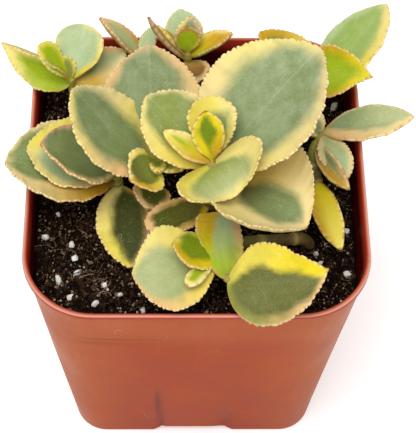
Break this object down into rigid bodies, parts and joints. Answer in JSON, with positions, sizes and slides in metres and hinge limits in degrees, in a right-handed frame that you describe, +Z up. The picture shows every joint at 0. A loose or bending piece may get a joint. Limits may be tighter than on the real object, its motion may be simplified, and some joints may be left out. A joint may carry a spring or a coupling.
{
  "type": "potted stonecrop",
  "caption": "Square nursery pot filled with soil and a low succulent of several leafy stems with broad, toothed, variegated leaves.",
  "frame": {"origin": "centre of the pot's base, on its underside", "axes": "+Z up along the pot's height, +Y towards the back of the pot, away from the picture's camera, +X to the picture's right"},
  "size_m": [0.1116, 0.0971, 0.1272],
  "materials": {
    "pot": "terracotta brown moulded plastic with a soft sheen",
    "soil": "dark moist peat with bark fibres and white grains",
    "leaf": "waxy grey-green leaf with a cream to yellow toothed margin",
    "leaf_pale": "waxy pale green leaf with a peach margin",
    "leaf_bright": "waxy bright yellow-green leaf",
    "leaf_olive": "waxy olive and orange-brown leaf"
  },
  "bodies": {
    "root": {"pot": "pot", "soil": "soil", "main_shoot": "leaf", "side_shoot": "leaf", "left_shoot": "leaf", "front_shoot": "leaf", "right_shoot": "leaf_pale", "far_left_shoot": "leaf_bright", "back_right_shoot": "leaf_bright", "back_left_shoot": "leaf_olive", "back_shoot": "leaf_olive"}
  },
  "joints": []
}
